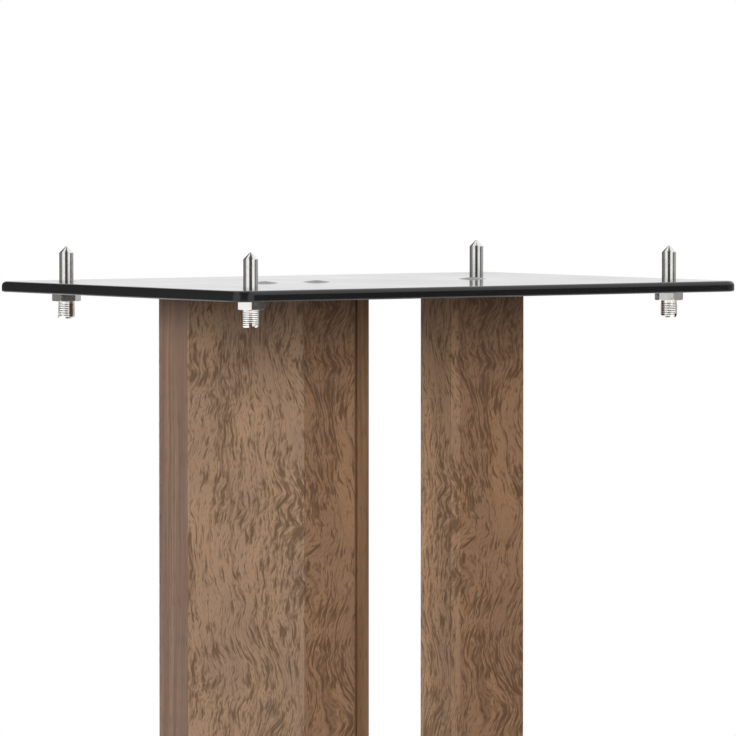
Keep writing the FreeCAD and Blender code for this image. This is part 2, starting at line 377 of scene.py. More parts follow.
# %% Build the edge wear group
def edge_wear_group():
    tree, given, result = new_group(
        "edge wear",
        [("Radius", "Float", 0.5 * MM), ("Amount", "Float", 0.5), ("Patch Scale", "Float", 60.0)],
        [("Mask", "Float")],
    )
    rounded = add(tree, "Bevel", {"Radius": given["Radius"]}, samples=4).outputs["Normal"]
    true = tree.nodes.new("ShaderNodeNewGeometry").outputs["Normal"]
    near_edge = between(tree, dot_of(tree, rounded, true), 0.995, 0.80)
    where = tree.nodes.new("ShaderNodeTexCoord").outputs["Object"]
    patches = noise(tree, where, given["Patch Scale"], 4.0, 0.65).outputs["Fac"]
    rubbed = between(tree, patches, 0.42, 0.68)
    mask = math_of(tree, "MULTIPLY", near_edge, rubbed)
    tree.links.new(math_of(tree, "MULTIPLY", mask, given["Amount"]), result["Mask"])
    return tree


EDGE_WEAR = edge_wear_group()
print(EDGE_WEAR.name, "nodes", len(EDGE_WEAR.nodes))

# %% [markdown]
# ## Handling marks
# No surface that people touch is evenly glossy. Fingers and cloths leave soft, cloudy patches, a
# little duller here and shinier there. A noise swings the roughness up and down round its middle
# value, by the spread that the material asks for.


# %% Build the handling marks group
def handling_group():
    tree, given, result = new_group(
        "handling marks",
        [("Scale", "Float", 18.0), ("Roughness", "Float", 0.3), ("Spread", "Float", 0.08)],
        [("Roughness", "Float")],
    )
    where = tree.nodes.new("ShaderNodeTexCoord").outputs["Object"]
    clouds = noise(tree, where, given["Scale"], 5.0, 0.6).outputs["Fac"]
    swing = math_of(tree, "MULTIPLY_ADD", clouds, 2.0, -1.0)
    change = math_of(tree, "MULTIPLY", swing, given["Spread"])
    tree.links.new(math_of(tree, "ADD", change, given["Roughness"]), result["Roughness"])
    return tree


HANDLING = handling_group()
print(HANDLING.name, "nodes", len(HANDLING.nodes))

# %% [markdown]
# ## Turning marks
# A lathe tool leaves fine rings round a spindle, and polishing never takes them quite away. The
# rings only change with height, so a one-dimensional noise of the height draws them.


# %% Build the turning marks group
def turning_group():
    tree, given, result = new_group(
        "turning marks", [("Rings Per Metre", "Float", 9000.0)], [("Height", "Float")]
    )
    where = tree.nodes.new("ShaderNodeTexCoord").outputs["Object"]
    height = add(tree, "SeparateXYZ", {"Vector": where}).outputs["Z"]
    rings = math_of(tree, "MULTIPLY", height, given["Rings Per Metre"])
    marks = add(tree, "TexNoise", {"W": rings, "Detail": 2.0}, noise_dimensions="1D")
    tree.links.new(marks.outputs["Fac"], result["Height"])
    return tree


TURNING = turning_group()
print(TURNING.name, "nodes", len(TURNING.nodes))

# %% [markdown]
# ## How the walnut grew
# The veneer on the broad faces is figured: short dark dashes follow a grain that bends and swirls.
# A picture of wood would repeat and stretch, so the network works as the tree grew. It unrolls the
# pillar, so that the figure runs on round a corner, bends the unrolled coordinates with slow
# noises, and later draws long thin noises in the bent coordinates.


# %% Unroll and bend the wood
def unrolled(tree, shift):
    """Coordinates (round the pillar, up the pillar, 0) in metres, moved round by shift."""
    where = tree.nodes.new("ShaderNodeTexCoord").outputs["Object"]
    part = add(tree, "SeparateXYZ", {"Vector": where}).outputs
    around = math_of(tree, "ADD", math_of(tree, "ADD", part["X"], part["Y"]), shift)
    return add(tree, "CombineXYZ", {"X": around, "Y": part["Z"]}).outputs["Vector"]


def bent(tree, place, scale, reach):
    """Moves coordinates by a slow noise, by up to about half of reach each way."""
    push = noise(tree, place, scale, 1.0).outputs["Color"]
    centred = vector_of(tree, "SUBTRACT", push, (0.5, 0.5, 0.5))
    return vector_of(tree, "ADD", place, vector_of(tree, "MULTIPLY", centred, reach))


def stretched(tree, place, per_metre, detail=2.0, roughness=0.5):
    """A noise with its own number of changes per metre round, up and into the pillar."""
    squeezed = vector_of(tree, "MULTIPLY", place, per_metre)
    return noise(tree, squeezed, 1.0, detail, roughness).outputs["Fac"]


print("wood of the wide pillar's core, mm", size_of("wide_pillar_core"))

# %% [markdown]
# ## Figured grain
# Close up, the figure is made of strokes. Long ones are about 2 by 10 mm and short ones 1 by 3 mm.
# They crowd in some bands and leave others calm, so a slower noise decides where they begin. Each
# stroke has a painted highlight on one side: a paler colour, as if light came from the upper left
# and caught grain that really tips up and down there. The same strokes, moved a little aside, draw
# it. Thin veins and pores come last.

# %% Build the figured grain group
SLOW_BEND, SLOW_REACH = 12.0, (0.052, 0.030, 0.0)
TIGHT_BEND, TIGHT_REACH = 55.0, (0.0105, 0.0075, 0.0)
# painted highlight: each stroke is drawn again this far aside, in a paler tan
PAINTED_HIGHLIGHT_SHIFT = (-0.7 * MM, 0.5 * MM, 0.0)
LONG_STROKES = (500.0, 105.0, 40.0)     # these are changes per metre round, up and into the pillar
SHORT_STROKES = (1050.0, 300.0, 40.0)
QUIET_PLACES = (26.0, 15.0, 10.0)
CROWDED_BANDS = (150.0, 24.0, 10.0)
VEIN_RINGS = (62.0, 3.0, 10.0)
FIGURE_PORES = (2600.0, 330.0, 40.0)
FIGURE_TONE = (40.0, 14.0, 10.0)


def strokes(tree, place, calm):
    """Short upright strokes, 1 where they are darkest; calm moves the point where they begin."""
    long_marks = stretched(tree, place, LONG_STROKES, 2.0, 0.6)
    short_marks = stretched(tree, place, SHORT_STROKES, 1.0, 0.5)
    long_marks = between(tree, math_of(tree, "ADD", long_marks, calm), 0.55, 0.34)
    short_marks = between(tree, math_of(tree, "ADD", short_marks, calm), 0.50, 0.30)
    return math_of(tree, "MAXIMUM", long_marks, math_of(tree, "MULTIPLY", short_marks, 0.7))


def figure_group():
    tree, given, result = new_group(
        "figured grain",
        [("Shift", "Float", 0.0)],
        [(label, "Float") for label in ("Dashes", "Painted Highlights", "Veins", "Pores", "Tone")],
    )
    slow = bent(tree, unrolled(tree, given["Shift"]), SLOW_BEND, SLOW_REACH)
    grain = bent(tree, slow, TIGHT_BEND, TIGHT_REACH)
    quiet = stretched(tree, slow, QUIET_PLACES, 1.0)
    calm = between(tree, quiet, 0.35, 0.66, -0.045, 0.055)
    bands = stretched(tree, grain, CROWDED_BANDS, 2.0, 0.6)
    calm = math_of(tree, "ADD", calm, between(tree, bands, 0.36, 0.62, -0.060, 0.045))
    tree.links.new(strokes(tree, grain, calm), result["Dashes"])
    # the painted highlight: a copy of the strokes, moved a little aside
    highlight_place = vector_of(tree, "ADD", grain, PAINTED_HIGHLIGHT_SHIFT)
    tree.links.new(strokes(tree, highlight_place, calm), result["Painted Highlights"])
    rings = stretched(tree, grain, VEIN_RINGS, 1.0)
    off_ring = math_of(tree, "ABSOLUTE", math_of(tree, "SUBTRACT", rings, 0.47))
    tree.links.new(between(tree, off_ring, 0.016, 0.002), result["Veins"])
    pores = stretched(tree, grain, FIGURE_PORES, 1.0)
    tree.links.new(between(tree, pores, 0.42, 0.30), result["Pores"])
    tone = stretched(tree, slow, FIGURE_TONE, 2.0)
    tree.links.new(between(tree, tone, 0.32, 0.68), result["Tone"])
    return tree


FIGURE = figure_group()
print(FIGURE.name, "nodes", len(FIGURE.nodes))

# %% [markdown]
# ## Straight grain
# The front edge and the solid edge strip are cut along the tree's length, so their growth rings
# show as long, nearly straight lines. It is the same wood, drawn with noises that are stretched
# much further and hardly bent.

# %% Build the straight grain group
STRAIGHT_BEND, STRAIGHT_REACH = 7.0, (0.006, 0.0, 0.0)
RING_LINES = (480.0, 7.0, 1.0)          # changes per metre round, up and into the pillar
STRAIGHT_PORES = (1900.0, 90.0, 1.0)
STRAIGHT_TONE = (110.0, 3.0, 1.0)


def straight_group():
    tree, given, result = new_group(
        "straight grain",
        [("Shift", "Float", 0.0)],
        [("Lines", "Float"), ("Pores", "Float"), ("Tone", "Float")],
    )
    grain = bent(tree, unrolled(tree, given["Shift"]), STRAIGHT_BEND, STRAIGHT_REACH)
    lines = stretched(tree, grain, RING_LINES, 3.0, 0.6)
    tree.links.new(between(tree, lines, 0.36, 0.64), result["Lines"])
    pores = stretched(tree, grain, STRAIGHT_PORES, 1.0)
    tree.links.new(between(tree, pores, 0.42, 0.30), result["Pores"])
    tone = stretched(tree, grain, STRAIGHT_TONE, 1.0)
    tree.links.new(between(tree, tone, 0.35, 0.65), result["Tone"])
    return tree


STRAIGHT = straight_group()
print(STRAIGHT.name, "nodes", len(STRAIGHT.nodes))

# %% [markdown]
# ## A surface to finish
# Each material starts with one Principled surface, which covers wood, paint and metal alike. What
# is the same all over is set on its sockets, and what changes is linked. Relief too fine to model,
# such as pores or rings, is a bump whose depth is given in real metres.


# %% Material helpers
def new_material(name, preview):
    """A material with an empty network that ends in one Principled surface."""
    material = bpy.data.materials.new(name)
    material.use_nodes = True
    material.diffuse_color = preview
    tree = material.node_tree
    tree.nodes.clear()
    surface = tree.nodes.new("ShaderNodeBsdfPrincipled")
    output = tree.nodes.new("ShaderNodeOutputMaterial")
    tree.links.new(surface.outputs["BSDF"], output.inputs["Surface"])
    where = tree.nodes.new("ShaderNodeTexCoord").outputs["Object"]
    return material, tree, surface, where


def set_surface(tree, surface, **values):
    """Sets or links the surface's sockets; spaces in their names are written as underscores."""
    for key, value in values.items():
        fill(tree, surface.inputs[key.replace("_", " ")], value)


def bumped(tree, height, distance):
    """A bump of this depth in metres, from a height between 0 and 1."""
    return add(tree, "Bump", {"Height": height, "Distance": distance}).outputs["Normal"]


print("materials that came with the frame", len(bpy.data.materials))

# %% [markdown]
# ## Lacquer over walnut
# All the wood has one thin matt lacquer. It shows as a weak, broad shine with cloudy changes, and
# it is rubbed through to paler wood on the sharpest edges. So it is one function, laid over
# whatever colour and relief the wood below has. The colours were matched to the photograph.

# %% Wood colours and lacquer
TAN = (0.318, 0.200, 0.122, 1.0)
MAUVE = (0.262, 0.168, 0.112, 1.0)
DASH_BROWN = (0.088, 0.047, 0.025, 1.0)
# the paler tan of the painted highlights beside the strokes
PAINTED_HIGHLIGHT_TAN = (0.440, 0.300, 0.190, 1.0)
LINE_BROWN = (0.150, 0.088, 0.054, 1.0)
PORE_BROWN = (0.070, 0.038, 0.021, 1.0)
WORN_WOOD = (0.400, 0.270, 0.170, 1.0)


def lacquered(tree, surface, colour, height, depth):
    """The matt lacquer that all the wood has, over this colour and relief."""
    wear = place_group(tree, EDGE_WEAR, Radius=0.6 * MM, Amount=0.22)["Mask"]
    gloss = place_group(tree, HANDLING, Scale=22.0, Roughness=0.52, Spread=0.10)["Roughness"]
    set_surface(
        tree,
        surface,
        Base_Color=blended(tree, wear, colour, WORN_WOOD),
        Roughness=gloss,
        Specular_IOR_Level=0.22,
        Normal=bumped(tree, height, depth),
    )


print("tan wood", TAN[:3], "and its dark dashes", DASH_BROWN[:3])

# %% [markdown]
# ## Two cuts of walnut
# Figured and straight wood are mixed the same way, from the broadest change to the finest: first
# the tone of the heartwood, then the painted highlights beside the strokes and the veins, or the
# lines, then the dashes, and the pores on top. Multiplying by a tint at the end gives each sheet its
# own hue, because no two sheets of veneer match. On the front edges the tint also carries painted
# light on the narrow pillar's and painted shade on the wide pillar's.


# %% Mix the two cuts
def layered(tree, colour, layers):
    """Lays colours over one another, each by its mask times its strength."""
    for mask, strength, layer in layers:
        colour = blended(tree, math_of(tree, "MULTIPLY", mask, strength), colour, layer)
    return colour


def figured_walnut(name, shift, tint):
    """Figured veneer; shift chooses the stretch of the figure, tint the sheet's own hue."""
    material, tree, surface, _ = new_material(name, TAN)
    figure = place_group(tree, FIGURE, Shift=shift)
    colour = layered(tree, blended(tree, figure["Tone"], MAUVE, TAN), [
        # painted highlight beside each dark stroke
        (figure["Painted Highlights"], 0.26, PAINTED_HIGHLIGHT_TAN),
        (figure["Veins"], 0.55, LINE_BROWN),
        (figure["Dashes"], 0.84, DASH_BROWN),
        (figure["Pores"], 0.40, PORE_BROWN),
    ])
    colour = blended(tree, 1.0, colour, tint, "MULTIPLY")
    dents = math_of(tree, "MULTIPLY_ADD", figure["Dashes"], 0.3, figure["Pores"])
    lacquered(tree, surface, colour, math_of(tree, "SUBTRACT", 1.0, dents), 0.015 * MM)
    return material


def straight_walnut(name, shift, tint):
    """Straight-grained wood, for the front edge and the solid edge strip."""
    material, tree, surface, _ = new_material(name, MAUVE)
    grain = place_group(tree, STRAIGHT, Shift=shift)
    colour = layered(tree, blended(tree, grain["Tone"], MAUVE, TAN), [
        (grain["Lines"], 0.62, LINE_BROWN),
        (grain["Pores"], 0.50, PORE_BROWN),
    ])
    colour = blended(tree, 1.0, colour, tint, "MULTIPLY")
    lacquered(tree, surface, colour, math_of(tree, "SUBTRACT", 1.0, grain["Pores"]), 0.08 * MM)
    return material


print("cuts of walnut", [cut.__name__ for cut in (figured_walnut, straight_walnut)])

# %% [markdown]
# ## Seven sheets
# A veneerer lays out the sheets before gluing. The wide pillar's two leaves share one figure, which
# runs on across their joint, and differ in tint. The narrow pillar's leaves come from another
# stretch of the same stack. Its front edge has their figure with a tint above one, which is painted
# light in place of the light that the wide pillar's shade keeps off that face. The wide pillar's
# front edge and the solid strip are straight-grained, and the strip comes from other wood, so it
# has its own stretch of lines. The straight front edge's cool tint is partly its own mauve tone and
# partly painted shade, darker because the left softbox lights it.

# %% Choose the sheets
NARROW_SHIFT = -0.1068
STRIP_SHIFT = 0.31
LIGHT_SHEET = (1.0, 1.0, 1.0, 1.0)
DARK_SHEET = (0.76, 0.67, 0.58, 1.0)
WARM_SHEET = (0.94, 0.89, 0.82, 1.0)
# painted light: a tint above one brightens the narrow front edge, in place of the light that the wide
# pillar's shade keeps off it
PAINTED_LIGHT_SHEET = (1.36, 1.30, 1.20, 1.0)
# partly the straight grain's own cool mauve, partly painted shade: darker because the left softbox lights
# this face
COOL_TONE_AND_PAINTED_SHADE = (0.76, 0.76, 0.83, 1.0)
BROWN_STRIP = (0.62, 0.53, 0.42, 1.0)

WIDE_FIRST = figured_walnut("walnut, wide pillar, first leaf", 0.0, LIGHT_SHEET)
WIDE_SECOND = figured_walnut("walnut, wide pillar, second leaf", 0.0, DARK_SHEET)
NARROW_FIRST = figured_walnut("walnut, narrow pillar, first leaf", NARROW_SHIFT, WARM_SHEET)
NARROW_EDGE_PAINTED_LIGHT = figured_walnut("walnut, narrow pillar, front edge, painted light", NARROW_SHIFT, PAINTED_LIGHT_SHEET)
NARROW_SECOND = figured_walnut("walnut, narrow pillar, second leaf", NARROW_SHIFT, DARK_SHEET)
FRONT_EDGE = straight_walnut("walnut, straight front edge", 0.0, COOL_TONE_AND_PAINTED_SHADE)
EDGE_STRIP = straight_walnut("walnut, solid edge strip", STRIP_SHIFT, BROWN_STRIP)
print("walnut finishes", sum(1 for m in bpy.data.materials if m.name.startswith("walnut, ")))

# %% [markdown]
# ## Black coat
# The plates have a gloss black coat over steel. Sprayed coat flows out smooth on level faces and
# stays a little rougher over upright edges, so the roughness follows the normal's slope. It cures
# with a very fine orange-peel skin, which breaks its reflections up softly, and it rubs grey where
# hands take hold. The screws have the same coat, thinner and duller.

# %% Mix the black coats
COAT_BLACK = (0.0065, 0.0065, 0.0072, 1.0)
COAT_WORN = (0.040, 0.040, 0.042, 1.0)


def black_coat(name, roughness, edge_roughness, peel_depth, wear_amount):
    """A coat that lies smooth on level faces and a little rougher over upright edges."""
    material, tree, surface, where = new_material(name, COAT_BLACK)
    facing = tree.nodes.new("ShaderNodeNewGeometry").outputs["Normal"]
    slope = math_of(tree, "ABSOLUTE", add(tree, "SeparateXYZ", {"Vector": facing}).outputs["Z"])
    smoothness = between(tree, slope, 0.75, 0.97, edge_roughness, roughness)
    wear = place_group(tree, EDGE_WEAR, Radius=0.8 * MM, Amount=wear_amount, Patch_Scale=45.0)["Mask"]
    marks = place_group(tree, HANDLING, Scale=14.0, Roughness=smoothness, Spread=0.4 * roughness)
    peel = noise(tree, where, 700.0, 2.0).outputs["Fac"]
    set_surface(
        tree,
        surface,
        Base_Color=blended(tree, wear, COAT_BLACK, COAT_WORN),
        Roughness=marks["Roughness"],
        Normal=bumped(tree, peel, peel_depth),
    )
    return material


PLATE_COAT = black_coat("black gloss coat", 0.10, 0.17, 0.0009 * MM, 0.15)
SCREW_COAT = black_coat("black screw finish", 0.16, 0.30, 0.002 * MM, 0.40)
print("coats", [m.name for m in (PLATE_COAT, SCREW_COAT)])

# %% [markdown]
# ## Bright metal
# The spikes are turned and polished, so they get sharp reflections with faint rings. The nuts are
# nickel, a little warmer, and the hidden fittings are zinc, which is dull and slightly yellow in
# places. All three are one function with its own colours, roughness and depth of rings.


# %% Mix the metals
def bright_metal(name, colour, dull_colour, roughness, ring_depth):
    material, tree, surface, where = new_material(name, colour)
    stain = between(tree, noise(tree, where, 240.0, 3.0, 0.6).outputs["Fac"], 0.45, 0.75)
    gloss = place_group(tree, HANDLING, Scale=160.0, Roughness=roughness, Spread=0.05)["Roughness"]
    rings = place_group(tree, TURNING, Rings_Per_Metre=9000.0)["Height"]
    set_surface(
        tree,
        surface,
        Base_Color=blended(tree, stain, colour, dull_colour),
        Metallic=1.0,
        Roughness=gloss,
        Normal=bumped(tree, rings, ring_depth),
    )
    return material


STEEL = bright_metal("polished steel", (0.84, 0.83, 0.81, 1.0), (0.72, 0.70, 0.67, 1.0), 0.11, 0.0015 * MM)
NICKEL = bright_metal("nickel plate", (0.86, 0.85, 0.83, 1.0), (0.74, 0.72, 0.68, 1.0), 0.11, 0.001 * MM)
ZINC = bright_metal("zinc plate", (0.55, 0.57, 0.60, 1.0), (0.60, 0.56, 0.46, 1.0), 0.34, 0.004 * MM)
print("metals", [m.name for m in (STEEL, NICKEL, ZINC)])

# %% [markdown]
# ## Fibre board
# The board inside the pillars is pressed from wood fibres. They show as fine pale and dark flecks
# under slow cloudy changes of shade. Nobody sees it, but a cut-away view would.

# %% Mix the fibre board
FIBRE_MIDDLE = (0.42, 0.30, 0.19, 1.0)
FIBRE_DARK = (0.34, 0.235, 0.145, 1.0)
FIBRE_PALE = (0.50, 0.37, 0.24, 1.0)


def fibre_board(name):
    material, tree, surface, where = new_material(name, FIBRE_MIDDLE)
    fibres = noise(tree, where, 420.0, 5.0, 0.7).outputs["Fac"]
    clouds = noise(tree, where, 30.0, 2.0).outputs["Fac"]
    colour = blended(tree, between(tree, fibres, 0.35, 0.65), FIBRE_DARK, FIBRE_PALE)
    shade = between(tree, clouds, 0.3, 0.7, 0.90, 1.06)
    grey = add(tree, "CombineColor", {0: shade, 1: shade, 2: shade}).outputs[0]
    colour = blended(tree, 1.0, colour, grey, "MULTIPLY")
    gloss = place_group(tree, HANDLING, Scale=60.0, Roughness=0.85, Spread=0.05)["Roughness"]
    set_surface(tree, surface, Base_Color=colour, Roughness=gloss, Normal=bumped(tree, fibres, 0.05 * MM))
    return material


BOARD = fibre_board("fibre board")
print(BOARD.name, "nodes", len(BOARD.node_tree.nodes))

# %% [markdown]
# ## The plates: rounding
# Each plate is cut from flat steel, and its corners and rims are rounded. A rounded outline could
# be drawn and thickened, but bevels do it as the workshop does: one round the upright edges gives
# the corners, and one along each rim takes the sharpness off. The top plate's upper rim is rounded
# the most, which gives it the light line along its edge.

# %% Round a plate
TOP_CORNER_R, BASE_CORNER_R = 10 * MM, 12 * MM
TOP_UPPER_RIM_R, TOP_LOWER_RIM_R = 2.8 * MM, 0.8 * MM
BASE_RIM_R = 2.2 * MM
CORNER_STEPS, RIM_STEPS = 14, 7


def is_rim(edge, up):
    """True on the outline of the upper face (up is 1) or of the lower face (up is -1)."""
    tilts = sorted((face.normal.z * up for face in edge.link_faces), key=abs)
    return abs(tilts[0]) < 0.1 and tilts[1] > 0.9


def rounded_plate(name, node, corner_r, upper_r, lower_r):
    plate = block(name, *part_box(node))
    bpy.ops.object.mode_set(mode="EDIT")
    choose("EDGE", is_upright)
    bpy.ops.mesh.bevel(offset=corner_r, segments=CORNER_STEPS, affect="EDGES")
    for up, rim_r in ((1, upper_r), (-1, lower_r)):
        choose("EDGE", lambda edge: is_rim(edge, up))
        bpy.ops.mesh.bevel(offset=rim_r, segments=RIM_STEPS, affect="EDGES")
    bpy.ops.object.mode_set(mode="OBJECT")
    return plate


print("top plate, mm", size_of("top_plate"), "base plate, mm", size_of("base_plate"))

# %% [markdown]
# ## The plates: drilling
# Each plate has four holes for the spikes and three countersunk ones for the pillar screws. A
# turned cutter has the form of the drill that made the hole, with a small chamfer at both ends or
# a 45 degree countersink, and runs a little past the plate, so that no skin is left over a hole.

# %% Drill the plates
SPIKE_HOLE_R = 5.05 * MM
SCREW_HOLE_R = 4.3 * MM
SCREW_HEAD_R = 8.0 * MM
SCREW_YS = (-70.5 * MM, -35.5 * MM, 72.0 * MM)
HOLE_CHAMFER = 0.3 * MM
PAST = 1.0 * MM                 # how far a cutter runs past what it cuts
CORNERS = ("front_left", "front_right", "rear_right", "rear_left")


def middle(node):
    low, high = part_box(node)
    return (low + high) / 2


def drill_for_spike(low, high):
    wide = SPIKE_HOLE_R + HOLE_CHAMFER
    return turned("drill", [
        (0, low - PAST), (wide, low - PAST), (wide, low), (SPIKE_HOLE_R, low + HOLE_CHAMFER),
        (SPIKE_HOLE_R, high - HOLE_CHAMFER), (wide, high), (wide, high + PAST), (0, high + PAST),
    ])


def drill_for_screw(inner, outer):
    """A clearance hole that widens at 45 degrees to the outer face, above or below the inner one."""
    up = 1 if outer > inner else -1
    sink = SCREW_HEAD_R - SCREW_HOLE_R
    return turned("drill", [
        (0, inner - up * PAST), (SCREW_HOLE_R, inner - up * PAST), (SCREW_HOLE_R, outer - up * sink),
        (SCREW_HEAD_R, outer), (SCREW_HEAD_R, outer + up * PAST), (0, outer + up * PAST),
    ])


def drill_at(plate, drill, x, y):
    drill.location = (x, y, 0)
    combine(plate, settle(drill), "DIFFERENCE")


def drilled_plate(name, node, spike_word, screws_above, *roundings):
    plate = rounded_plate(name, node, *roundings)
    low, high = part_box(node)
    for corner in CORNERS:
        axis = middle(spike_word + "_spike_" + corner)
        drill_at(plate, drill_for_spike(low.z, high.z), axis.x, axis.y)
    inner, outer = (low.z, high.z) if screws_above else (high.z, low.z)
    for y in SCREW_YS:
        drill_at(plate, drill_for_screw(inner, outer), 0, y)
    soften_shading(plate)
    finished(plate, "stand", PLATE_COAT, "black_steel", node)


top_roundings = (TOP_CORNER_R, TOP_UPPER_RIM_R, TOP_LOWER_RIM_R)
drilled_plate("top_plate_coated", "top_plate", "top", True, *top_roundings)
base_roundings = (BASE_CORNER_R, BASE_RIM_R, BASE_RIM_R)
drilled_plate("base_plate_coated", "base_plate", "floor", False, *base_roundings)

# %% [markdown]
# ## A real thread
# The spikes and screws have real threads, because the bright spikes show theirs under the plate.
# Rings would look the same from afar, but a thread climbs. One tooth is drawn as an outline, and
# the Screw modifier sweeps it round and up by one pitch a turn. The swept skin is trimmed flat at
# both ends, which closes it into a solid, and then keeps only what lies inside a turned blank with
# a chamfered end.

# %% Thread helper
THREAD_STEPS = 40
RUN_IN = 1.37                   # the sweep starts this many pitches below the rod
TOOTH = ((0, 0), (0, 0.06), (1, 0.44), (1, 0.56), (0, 0.94), (0, 1))     # (share of depth, of pitch)
TRIM_GAP = 0.0001 * MM
BLANK_ROOM = 0.2 * MM


def trim_ends(rod, low, high):
    """Cuts a swept skin flat at two heights and closes it there."""
    select_only(rod)
    bpy.ops.object.mode_set(mode="EDIT")
    for height, normal in ((low, (0, 0, -1)), (high, (0, 0, 1))):
        cut = {"plane_co": (0, 0, height), "plane_no": normal, "threshold": TRIM_GAP}
        bpy.ops.mesh.select_all(action="SELECT")
        bpy.ops.mesh.bisect(use_fill=True, clear_outer=True, **cut)
    return close_and_face_outwards(rod)


def threaded_rod(name, crest_r, depth, pitch, low, high, lead_in):
    """A threaded solid from low to high, with its lower end chamfered by lead_in."""
    root_r = crest_r - depth
    start = low - RUN_IN * pitch
    rod = drawn_line(name, [(root_r + out * depth, 0, start + up * pitch) for out, up in TOOTH])
    sweep = rod.modifiers.new("sweep", "SCREW")
    sweep.axis = "Z"
    sweep.screw_offset = pitch
    sweep.iterations = math.ceil((high - start) / pitch) + 1
    sweep.steps = sweep.render_steps = THREAD_STEPS
    select_only(rod)
    bpy.ops.object.modifier_apply(modifier=sweep.name)
    trim_ends(close_and_face_outwards(rod), low, high)
    room = BLANK_ROOM
    blank = turned(name + "_blank", [
        (0, low), (crest_r - lead_in, low), (crest_r + room, low + lead_in + room),
        (crest_r + room, high - depth - room), (root_r, high), (0, high),
    ])
    return combine(rod, blank, "INTERSECT")


print("thread steps a turn", THREAD_STEPS)

# %% [markdown]
# ## One spike
# A spike is one turned steel piece: a point of 90 degrees with a tiny flat, a smooth shank, and
# a fine thread that ends in a chamfer and a screwdriver slot. It is modelled pointing up at the
# origin, with the plate's face at height 0. The shank and the thread are made apart, because only
# one of them is round, and then joined.

# %% Make one spike
SPIKE_RISE, SPIKE_LENGTH = 19.5 * MM, 40 * MM
SHANK_R, THREAD_R, THREAD_DEPTH, THREAD_PITCH = 4 * MM, 5 * MM, 0.5 * MM, 1 * MM
TIP_FLAT_R = 0.4 * MM
END_CHAMFER = 0.9 * MM
SLOT_WIDTH, SLOT_DEPTH = 1.6 * MM, 2.2 * MM
SHOULDER_SOFTENING = 0.15 * MM


def one_spike():
    foot = SPIKE_RISE - SPIKE_LENGTH
    spike = threaded_rod("spike", THREAD_R, THREAD_DEPTH, THREAD_PITCH, foot, 0, END_CHAMFER)
    reach = THREAD_R + PAST
    half = SLOT_WIDTH / 2
    slot = block("slot", (-reach, -half, foot - PAST), (reach, half, foot + SLOT_DEPTH))
    combine(spike, slot, "DIFFERENCE")
    shoulder = SPIKE_RISE - (SHANK_R - TIP_FLAT_R)
    softened = SHOULDER_SOFTENING
    shank = turned("shank", [
        (0, -PAST), (SHANK_R, -PAST), (SHANK_R, shoulder - softened), (SHANK_R - 0.3 * softened, shoulder),
        (SHANK_R - softened, shoulder + softened), (TIP_FLAT_R, SPIKE_RISE), (0, SPIKE_RISE),
    ])
    combine(spike, shank, "UNION")
    return soften_shading(close_and_face_outwards(spike))


spike_master = one_spike()
print("spike faces", len(spike_master.data.polygons), "open edges", open_edges(spike_master))

# %% [markdown]
# ## The spikes in their places
# All eight spikes are alike, so one is modelled and copied, each copy with its own mesh. They
# differ only in how far they were screwed round, which their slots show. The top ones are turned
# to the angles in the photograph, and the floor ones are the same, turned over.

# %% Copy the spikes
SLOT_TURN = {"front_left": 70.0, "front_right": 144.3, "rear_right": 15.0, "rear_left": 110.0}
FLIP = Matrix.Rotation(math.pi, 4, "X")


def copy_of(master, name, matrix):
    """A copy with its own mesh, moved in the mesh."""
    piece = master.copy()
    piece.data = master.data.copy()
    piece.name = piece.data.name = name
    piece.data.transform(matrix)
    bpy.context.scene.collection.objects.link(piece)
    return piece


def place_at_corners(master, kind, turns, faces, finish, slot, ending):
    """Copies of a spike or nut: upright on the top plate's face, turned over on the base plate's."""
    for corner, degrees in turns.items():
        turn = Matrix.Rotation(math.radians(degrees), 4, "Z")
        for level, flip, face in zip(("top", "floor"), (Matrix(), FLIP), faces):
            node = level + "_" + kind + "_" + corner
            axis = middle(node)
            place = Matrix.Translation((axis.x, axis.y, face)) @ flip @ turn
            finished(copy_of(master, node + ending, place), node, finish, slot, node)
    bpy.data.objects.remove(master)


spike_faces = (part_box("top_plate")[1].z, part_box("base_plate")[0].z)
place_at_corners(spike_master, "spike", SLOT_TURN, spike_faces, STEEL, "polished_steel", "_steel")

# %% [markdown]
# ## The lock nuts
# A thin nut locks each spike against its plate. It starts as a six-sided cylinder. A turned blank
# with sloping shoulders takes the points off its corners, which leaves the curved bright lines
# that every machined nut has, and a turned cutter bores it. A hair-thin bevel then lets the edges
# catch the light.

# %% Make one nut and copy it
NUT_FLATS, NUT_THICK, NUT_CHAMFER = 14 * MM, 5 * MM, 0.6 * MM
NUT_SLOPE = math.radians(30)
NUT_BORE_CHAMFER = 0.55 * MM
NUT_EDGE = 0.12 * MM
NUT_BLANK_STEPS = 96
NUT_SOFTEN_FROM, NUT_SMOOTH_UP_TO = 25, 28      # degrees between two faces
NUT_TURN = {"front_left": 4.8, "front_right": 28.3, "rear_right": 40.9, "rear_left": 12.0}


def hexagon(name, flats, low, high):
    """A six-sided bar between two heights, with a corner on Y."""
    bpy.ops.object.select_all(action="DESELECT")
    size = {"radius": flats / math.sqrt(3), "depth": high - low}
    bpy.ops.mesh.primitive_cylinder_add(vertices=6, location=(0, 0, (low + high) / 2), **size)
    bar = bpy.context.object
    bar.name = bar.data.name = name
    return settle(bar)


def nut_blank():
    """The turned shape that takes the points off the nut's corners at both faces."""
    corner_r = NUT_FLATS / math.sqrt(3)
    drop = 2 * NUT_CHAMFER * math.tan(NUT_SLOPE)
    return turned("nut_blank", [
        (0, -NUT_THICK), (corner_r - NUT_CHAMFER, -NUT_THICK), (corner_r + NUT_CHAMFER, drop - NUT_THICK),
        (corner_r + NUT_CHAMFER, -drop), (corner_r - NUT_CHAMFER, 0), (0, 0),
    ], NUT_BLANK_STEPS)


